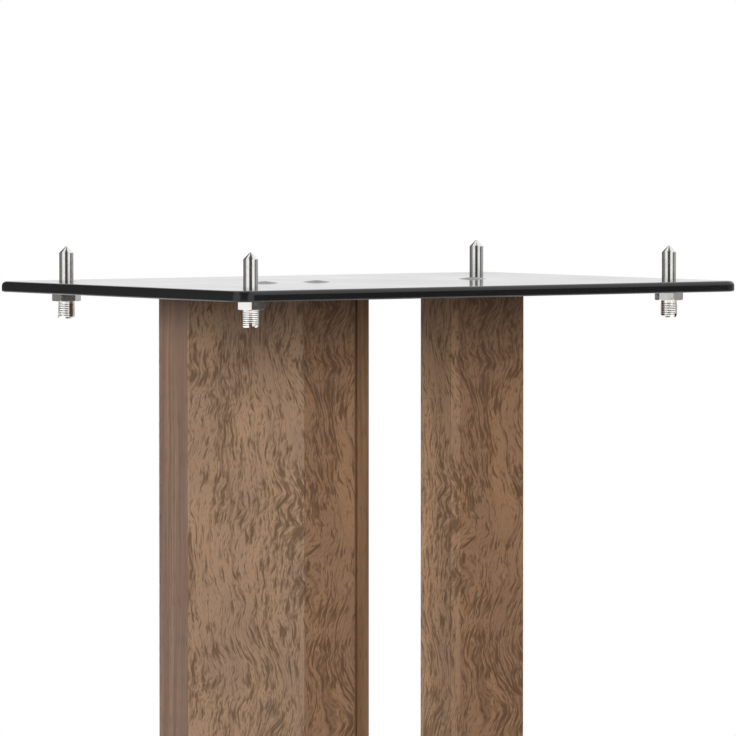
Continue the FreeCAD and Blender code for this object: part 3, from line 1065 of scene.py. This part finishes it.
def nut_bore():
    wide = SPIKE_HOLE_R + NUT_BORE_CHAMFER
    return turned("bore", [
        (0, -NUT_THICK - PAST), (wide, -NUT_THICK - PAST), (wide, -NUT_THICK),
        (SPIKE_HOLE_R, -NUT_THICK + NUT_BORE_CHAMFER), (SPIKE_HOLE_R, -NUT_BORE_CHAMFER), (wide, 0),
        (wide, PAST), (0, PAST),
    ])


def one_nut():
    nut = hexagon("nut", NUT_FLATS, -NUT_THICK, 0)
    nut.rotation_euler.z = math.radians(30)         # puts a corner on X
    settle(nut)
    combine(nut, nut_blank(), "INTERSECT")
    combine(nut, nut_bore(), "DIFFERENCE")
    close_and_face_outwards(nut)
    softening = nut.modifiers.new("edges", "BEVEL")
    softening.width = NUT_EDGE
    softening.segments = 2
    softening.limit_method = "ANGLE"
    softening.angle_limit = math.radians(NUT_SOFTEN_FROM)
    select_only(nut)
    bpy.ops.object.modifier_apply(modifier=softening.name)
    return soften_shading(nut, NUT_SMOOTH_UP_TO)


nut_faces = (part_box("top_plate")[0].z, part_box("base_plate")[1].z)
place_at_corners(one_nut(), "locknut", NUT_TURN, nut_faces, NICKEL, "nickel_nut", "_nickel")

# %% [markdown]
# ## The pillar screws
# Three screws hold the pillars from each plate. Their heads are raised countersunk: a cone that
# sits in the plate and a low dome that stands above it, with a hexagon socket. The dome is an arc
# of a sphere, worked out from its height and the head's radius.

# %% Make one screw and copy it
SCREW_DOME = 0.9 * MM
SCREW_LENGTH = 28 * MM
SCREW_R, SCREW_THREAD_DEPTH, SCREW_PITCH = 3.95 * MM, 0.6 * MM, 1.25 * MM
SCREW_SOCKET, SCREW_SOCKET_DEPTH = 5 * MM, 3.2 * MM
SCREW_RIM = 0.25 * MM
SCREW_LEAD_IN = 1.0 * MM
DOME_STEPS = 8
SCREW_TURN_EACH = 17            # degrees from one screw's socket to the next one's


def screw_head(neck):
    """The dome, the cone and a stub of shank, from the dome's top down to neck."""
    ball_r = (SCREW_HEAD_R ** 2 + SCREW_DOME ** 2) / (2 * SCREW_DOME)
    edge = math.asin((SCREW_HEAD_R - SCREW_RIM) / ball_r)
    angles = [edge * step / DOME_STEPS for step in range(DOME_STEPS + 1)]
    dome = [(ball_r * math.sin(a), SCREW_DOME - ball_r * (1 - math.cos(a))) for a in angles]
    return turned("screw", dome + [
        (SCREW_HEAD_R, -0.2 * SCREW_RIM), (SCREW_R, neck), (SCREW_R, neck - PAST), (0, neck - PAST),
    ])


def one_screw():
    neck = SCREW_R - SCREW_HEAD_R
    screw = screw_head(neck)
    grooves = (SCREW_THREAD_DEPTH, SCREW_PITCH)
    thread = threaded_rod("thread", SCREW_R, *grooves, -SCREW_LENGTH, neck, SCREW_LEAD_IN)
    combine(screw, thread, "UNION")
    socket = hexagon("socket", SCREW_SOCKET, SCREW_DOME - SCREW_SOCKET_DEPTH, SCREW_DOME + PAST)
    combine(screw, socket, "DIFFERENCE")
    return soften_shading(close_and_face_outwards(screw))


def place_screws():
    master = one_screw()
    faces = {"top": (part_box("top_plate")[1].z, Matrix()), "base": (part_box("base_plate")[0].z, FLIP)}
    for end, (face, flip) in faces.items():
        for number, y in enumerate(SCREW_YS, 1):
            turn = Matrix.Rotation(math.radians(SCREW_TURN_EACH * number), 4, "Z")
            place = Matrix.Translation((0, y, face))
            piece = copy_of(master, f"{end}_plate_screw_{number}", place @ flip @ turn)
            finished(piece, "stand", SCREW_COAT, "black_screw", end + "_plate_screws")
    bpy.data.objects.remove(master)


place_screws()

# %% [markdown]
# ## The veneer on the broad faces
# A pillar is a board with veneer glued round it. Each leaf is a thin block. Its outer long edges
# are rounded where they form the pillar's corner, and only just broken where two leaves meet,
# which leaves the fine line seen between them. A drawn line would be simpler, but it wouldn't catch
# the light as a real joint does.

# %% Lay the leaves on the broad faces
ARRIS_R = 0.4 * MM
ARRIS_STEPS = 4
JOINT_BREAK = 0.12 * MM
NEAR = 0.01 * MM                # two places closer than this are the same
WIDE_JOINT_Y = -54 * MM
NARROW_JOINT_OFFSET = 6.3 * MM  # from the narrow pillar's front corner


def leaf(name, low, high, corner_ys, joint_y, material, node):
    """One leaf on a broad face; corner_ys are its rounded long edges, joint_y its broken one."""
    piece = block(name, low, high)
    outer = low[0] if abs(low[0]) > abs(high[0]) else high[0]

    def along(edge, ys):
        spot = (edge.verts[0].co + edge.verts[1].co) / 2
        return abs(spot.x - outer) < NEAR and any(abs(spot.y - y) < NEAR for y in ys)

    bpy.ops.object.mode_set(mode="EDIT")
    if choose("EDGE", lambda edge: is_upright(edge) and along(edge, corner_ys)):
        bpy.ops.mesh.bevel(offset=ARRIS_R, segments=ARRIS_STEPS, affect="EDGES")
    if choose("EDGE", lambda edge: is_upright(edge) and along(edge, [joint_y])):
        bpy.ops.mesh.bevel(offset=JOINT_BREAK, segments=2, affect="EDGES")
    bpy.ops.object.mode_set(mode="OBJECT")
    soften_shading(piece)
    finished(piece, "stand", material, "walnut_figured", node)


def broad_faces(pillar, joint_y, first, second, ends_in_corner):
    """Two leaves on each broad face; the second one ends in a corner or at the edge strip."""
    for side in ("left", "right"):
        node = pillar + "_" + side + "_face_veneer"
        name = pillar + "_" + side
        low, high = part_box(node)
        first_high = Vector((high.x, joint_y, high.z))
        second_low = Vector((low.x, joint_y, low.z))
        far_corner = [high.y] if ends_in_corner else []
        leaf(name + "_first_leaf", low, first_high, [low.y], joint_y, first, node)
        leaf(name + "_second_leaf", second_low, high, far_corner, joint_y, second, node)


narrow_joint_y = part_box("narrow_pillar_right_face_veneer")[0].y + NARROW_JOINT_OFFSET
broad_faces("wide_pillar", WIDE_JOINT_Y, WIDE_FIRST, WIDE_SECOND, False)
broad_faces("narrow_pillar", narrow_joint_y, NARROW_FIRST, NARROW_SECOND, True)

# %% [markdown]
# ## The veneer on the narrow edges
# The pillars' front edges and the narrow one's rear edge are one strip of veneer each, laid between
# the broad faces. Its long edges lie under the neighbours' arrises, so they are only just broken.

# %% Lay the edge leaves
EDGE_LEAF_BREAK = 0.04 * MM


def edge_leaf(node, material, slot):
    low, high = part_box(node)
    piece = block(node + "_leaf", low, high)
    bpy.ops.object.mode_set(mode="EDIT")
    choose("EDGE", is_upright)
    bpy.ops.mesh.bevel(offset=EDGE_LEAF_BREAK, segments=1, affect="EDGES")
    bpy.ops.object.mode_set(mode="OBJECT")
    soften_shading(piece)
    finished(piece, "stand", material, slot, node)


edge_leaf("wide_pillar_front_edge_veneer", FRONT_EDGE, "walnut_straight")
# this finish has painted light in its tint, for a face in the wide pillar's shade
edge_leaf("narrow_pillar_front_edge_veneer", NARROW_EDGE_PAINTED_LIGHT, "walnut_figured")
edge_leaf("narrow_pillar_rear_edge_veneer", NARROW_SECOND, "walnut_figured")

# %% [markdown]
# ## The solid edge strip
# The wide pillar ends in a solid strip along the gap, where a cable could rub through veneer. A
# saw cut hides the joint between the strip and the face. The strip starts as a block as wide as the
# cut's floor. The part past the cut is then pulled out to the full width on both sides, which
# leaves the groove, and the two outer corners are rounded as on the leaves.

# %% Cut the solid edge strip
GROOVE_WIDTH, GROOVE_DEPTH = 2.0 * MM, 1.2 * MM


def edge_strip():
    node = "wide_pillar_lipping"
    low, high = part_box(node)
    inset = Vector((GROOVE_DEPTH, 0, 0))
    groove_end = low.y + GROOVE_WIDTH
    strip = block("wide_pillar_edge_strip", low + inset, high - inset)

    def is_past_groove(face, side):
        return face.normal.x * side > 0.9 and face.calc_center_median().y > groove_end

    def is_outer_corner(edge):
        at_end = all(v.co.y > high.y - NEAR for v in edge.verts)
        return is_upright(edge) and at_end and abs(edge.verts[0].co.x) > high.x - NEAR

    bpy.ops.object.mode_set(mode="EDIT")
    bpy.ops.mesh.select_all(action="SELECT")
    bpy.ops.mesh.bisect(plane_co=(0, groove_end, 0), plane_no=(0, 1, 0))
    for side in (-1, 1):
        choose("FACE", lambda face: is_past_groove(face, side))
        bpy.ops.mesh.extrude_region_move(TRANSFORM_OT_translate={"value": inset * side})
    choose("EDGE", is_outer_corner)
    bpy.ops.mesh.bevel(offset=ARRIS_R, segments=ARRIS_STEPS, affect="EDGES")
    bpy.ops.mesh.select_all(action="SELECT")
    bpy.ops.mesh.remove_doubles(threshold=DOUBLED)
    bpy.ops.object.mode_set(mode="OBJECT")
    soften_shading(strip)
    finished(strip, "stand", EDGE_STRIP, "walnut_solid", node)


edge_strip()

# %% [markdown]
# ## The hidden pieces
# The cores, the threaded inserts and the dowels keep their measured shapes, because they are
# plain by nature and nobody sees them. They still get their own finishes.

# %% Finish the hidden pieces
HIDDEN = {
    "wide_pillar_core": BOARD,
    "narrow_pillar_core": BOARD,
    "wide_pillar_top_inserts": ZINC,
    "wide_pillar_base_inserts": ZINC,
    "narrow_pillar_top_insert": ZINC,
    "narrow_pillar_base_insert": ZINC,
    "narrow_pillar_top_dowels": ZINC,
    "narrow_pillar_base_dowels": ZINC,
}
for node_name, material in HIDDEN.items():
    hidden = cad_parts[node_name]
    hidden.data.materials.clear()
    hidden.data.materials.append(material)
print("hidden pieces finished", len(HIDDEN))

# %% [markdown]
# ## The floor
# The stand is on a white floor that fades into a white studio. Such a floor could be lit until it
# is white, but then the light that it throws back would wash out the wood. So it does two jobs.
# What the camera sees, also in metal, is white paint with a glow that grows with distance, which
# hides the floor's end and keeps the stand's shadow. What lights the stand from below is a darker
# paint. The Light Path node tells the two apart.

# %% Lay the floor
FLOOR_R = 3.2
SEEN_PAINT, UNSEEN_PAINT = 0.80, 0.24
GLOW_STARTS, GLOW_ENDS = 0.5, 2.6        # metres from the stand
GLOW_NEAR, GLOW_FAR = 0.42, 1.0
WHITE = (1.0, 1.0, 1.0, 1.0)


def grey(level):
    return (level, level, level, 1.0)


def seen_directly(tree):
    """1 for what the camera sees, also in metal; 0 for light on its way to a matt face."""
    ray = tree.nodes.new("ShaderNodeLightPath").outputs
    seen = math_of(tree, "MAXIMUM", ray["Is Camera Ray"], ray["Is Glossy Ray"])
    seen = math_of(tree, "MAXIMUM", seen, ray["Is Transmission Ray"])
    return math_of(tree, "MULTIPLY", seen, math_of(tree, "LESS_THAN", ray["Diffuse Depth"], 0.5))


def output_of(tree):
    return next(n for n in tree.nodes if n.type == "OUTPUT_MATERIAL").inputs["Surface"]


def floor_material():
    material, tree, surface, where = new_material("white floor", grey(0.9))
    seen = seen_directly(tree)
    paint = blended(tree, seen, grey(UNSEEN_PAINT), grey(SEEN_PAINT))
    set_surface(tree, surface, Base_Color=paint, Roughness=0.9, Specular_IOR_Level=0.0)
    away = add(tree, "VectorMath", {0: where}, operation="LENGTH").outputs["Value"]
    strength = between(tree, away, GLOW_STARTS, GLOW_ENDS, GLOW_NEAR, GLOW_FAR)
    glow = add(tree, "Emission", {"Color": WHITE, "Strength": strength}).outputs[0]
    shown = add(tree, "AddShader", {0: surface.outputs["BSDF"], 1: glow}).outputs[0]
    picked = add(tree, "MixShader", {0: seen, 1: surface.outputs["BSDF"], 2: shown}).outputs[0]
    tree.links.new(picked, output_of(tree))
    return material


def lay_floor():
    bpy.ops.object.select_all(action="DESELECT")
    bpy.ops.mesh.primitive_circle_add(vertices=96, radius=FLOOR_R, fill_type="NGON", location=(0, 0, 0))
    floor = bpy.context.object
    floor.name = "studio_floor"
    floor.data.materials.append(floor_material())


lay_floor()
print("floor radius", FLOOR_R)

# %% [markdown]
# ## The room's light
# The camera and the bright metal see a white studio all round. A matt face gets only a little light
# from it, because the lamps do that work: light from everywhere would leave no shadow under the
# plate, and the photograph has a deep one.

# %% Light the room
AMBIENT = 0.10


def light_room():
    world = bpy.data.worlds.new("white studio")
    bpy.context.scene.world = world
    world.use_nodes = True
    tree = world.node_tree
    tree.nodes.clear()
    seen = seen_directly(tree)
    soft = add(tree, "Background", {"Color": WHITE, "Strength": AMBIENT}).outputs[0]
    white = add(tree, "Background", {"Color": WHITE, "Strength": 1.0}).outputs[0]
    mixed = add(tree, "MixShader", {0: seen, 1: soft, 2: white}).outputs[0]
    output = tree.nodes.new("ShaderNodeOutputWorld")
    tree.links.new(mixed, output.inputs["Surface"])


light_room()
print("light from the room", AMBIENT)

# %% [markdown]
# ## Softboxes
# Big square lamps give soft, even light. Most of them stand low, 15 degrees up, so that they reach
# in under the top plate and let its shadow fade down the wood over a few centimetres. One hangs
# overhead, and two behind the stand light its back. They are level enough together that a colour
# comes out about as it was mixed. None of them shows in the metal.

# %% Place the softboxes
LIT_POINT = Vector((0, 0, 0.5))


def direction(side_degrees, height_degrees):
    """A unit vector away from the stand, turned this far to the right of the way to the camera."""
    to_camera = -TOWARDS_STAND.normalized()
    turn = Matrix.Rotation(math.radians(side_degrees), 3, "Z")
    flat = turn @ to_camera
    rise = math.radians(height_degrees)
    return flat * math.cos(rise) + Vector((0, 0, math.sin(rise)))


def softbox(name, side_degrees, watts, height_degrees=15, distance=3.2, size=1.5):
    """A square area lamp that looks at the stand, and that no reflection shows."""
    away = direction(side_degrees, height_degrees)
    bpy.ops.object.light_add(type="AREA", location=LIT_POINT + away * distance)
    lamp = bpy.context.object
    lamp.name = name
    lamp.rotation_euler = (-away).to_track_quat("-Z", "Y").to_euler()
    lamp.data.size = size
    lamp.data.energy = watts
    lamp.visible_glossy = False


softbox("front softbox", -6, 76)
softbox("left softbox", -62, 46)
softbox("right softbox", 58, 48)
softbox("overhead softbox", 0, 30, height_degrees=82, distance=3.0, size=2.0)
softbox("rear left softbox", -146, 48)
softbox("rear right softbox", 146, 48)

# %% [markdown]
# ## Grey cards: what the metal reflects
# A polished rod in an all-white room would vanish, so photographers stand dark cards round it: here
# one behind the camera, one on the left, and one on the right with a darker end. They show only in
# reflections, and draw the dark lines down the steel and the black of the plates' edges. No lamp
# lights them: each card glows, with painted shade from one grey to another, as a card does that
# leans away from the light.

# %% Grey card material
CARD_DISTANCE = 4.4


def glowing_card_material(name, near_side, near_grey, far_side, far_grey):
    """A glowing card with painted shade from one grey to another between two directions from the stand."""
    material, tree, surface, where = new_material(name, grey(0.1))
    towards = direction((near_side + far_side) / 2, 0)
    across = Matrix.Rotation(math.pi / 2, 3, "Z") @ towards
    turn = math_of(tree, "ARCTAN2", dot_of(tree, where, across), dot_of(tree, where, towards))
    half = math.radians(far_side - near_side) / 2
    # painted shade: the card's glow fades from one grey to the other across it
    level = between(tree, turn, -half, half, near_grey, far_grey)
    tree.nodes.remove(surface)
    glow = add(tree, "Emission", {"Color": WHITE, "Strength": level}).outputs[0]
    tree.links.new(glow, output_of(tree))
    return material


def only_in_reflections(card, material):
    card.visible_camera = False
    card.visible_diffuse = False
    card.visible_transmission = False
    card.visible_shadow = False
    card.data.materials.append(material)
    print(card.name, "height", round(max(v.co.z for v in card.data.vertices), 2))


print("cards", CARD_DISTANCE, "m from the stand, camera", round(CAMERA_AT.length, 2), "m")

# %% [markdown]
# ## Two curved cards
# Each side card is an upright line, spun part of the way round the stand, so that all of it is
# equally far away. Flat cards would do, but their corners would show as kinks in the reflection.
# The right one has two ends, because the plate's edge needs a darker card than the spikes do.

# %% Stand the curved cards
CARD_STEPS = 16


def curved_card(name, from_side, to_side, top, material):
    """An upright card that curves round the stand between two directions."""
    start = direction(from_side, 0) * CARD_DISTANCE
    card = drawn_line(name, [start, start + Vector((0, 0, top))])
    bpy.ops.object.mode_set(mode="EDIT")
    bpy.ops.mesh.select_all(action="SELECT")
    sweep = math.radians(from_side - to_side)       # spin turns clockwise for a positive angle
    bpy.ops.mesh.spin(steps=CARD_STEPS, angle=sweep, center=(0, 0, 0), axis=(0, 0, 1))
    bpy.ops.object.mode_set(mode="OBJECT")
    only_in_reflections(card, material)


curved_card("card_left", -162, -68, 6.0, glowing_card_material("left card", -162, 0.07, -68, 0.26))
curved_card("card_right_dark", 62, 77, 2.0, glowing_card_material("right card, dark end", 62, 0.03, 77, 0.07))
curved_card("card_right", 77, 158, 2.0, glowing_card_material("right card", 77, 0.30, 158, 0.50))

# %% [markdown]
# ## The card behind the camera
# The spikes' points slope, so they reflect what is above the camera too. This card rises behind
# the camera and then bends over the stand in a quarter circle, so that the dark line down each
# shank runs on to the tip. A level line is drawn, extruded up and spun over.

# %% Bend the camera card over the stand
CAMERA_CARD_SIDE = 22.0         # degrees that it reaches to each side
CAMERA_CARD_GREY = 0.07
CAMERA_CARD_RISE = 0.6          # how high it stands before it bends


def camera_card():
    """A strip behind the camera that bends over the stand, so that the points get a dark line too."""
    across = direction(90, 0)
    reach = across * math.tan(math.radians(CAMERA_CARD_SIDE)) * CARD_DISTANCE
    centre = direction(0, 0) * CARD_DISTANCE
    card = drawn_line("card_behind_camera", [centre - reach, centre + reach])
    bpy.ops.object.mode_set(mode="EDIT")
    bpy.ops.mesh.select_all(action="SELECT")
    bpy.ops.mesh.extrude_region_move(TRANSFORM_OT_translate={"value": (0, 0, CAMERA_CARD_RISE)})
    bend = {"steps": CARD_STEPS, "angle": math.pi / 2}
    bpy.ops.mesh.spin(center=(0, 0, CAMERA_CARD_RISE), axis=across, **bend)
    bpy.ops.object.mode_set(mode="OBJECT")
    side, level = CAMERA_CARD_SIDE, CAMERA_CARD_GREY
    only_in_reflections(card, glowing_card_material("card behind the camera", -side, level, side, level))


camera_card()

# %% [markdown]
# The Standard view shows colours as they were mixed.

# %% Show colours as mixed
bpy.context.scene.view_settings.view_transform = "Standard"
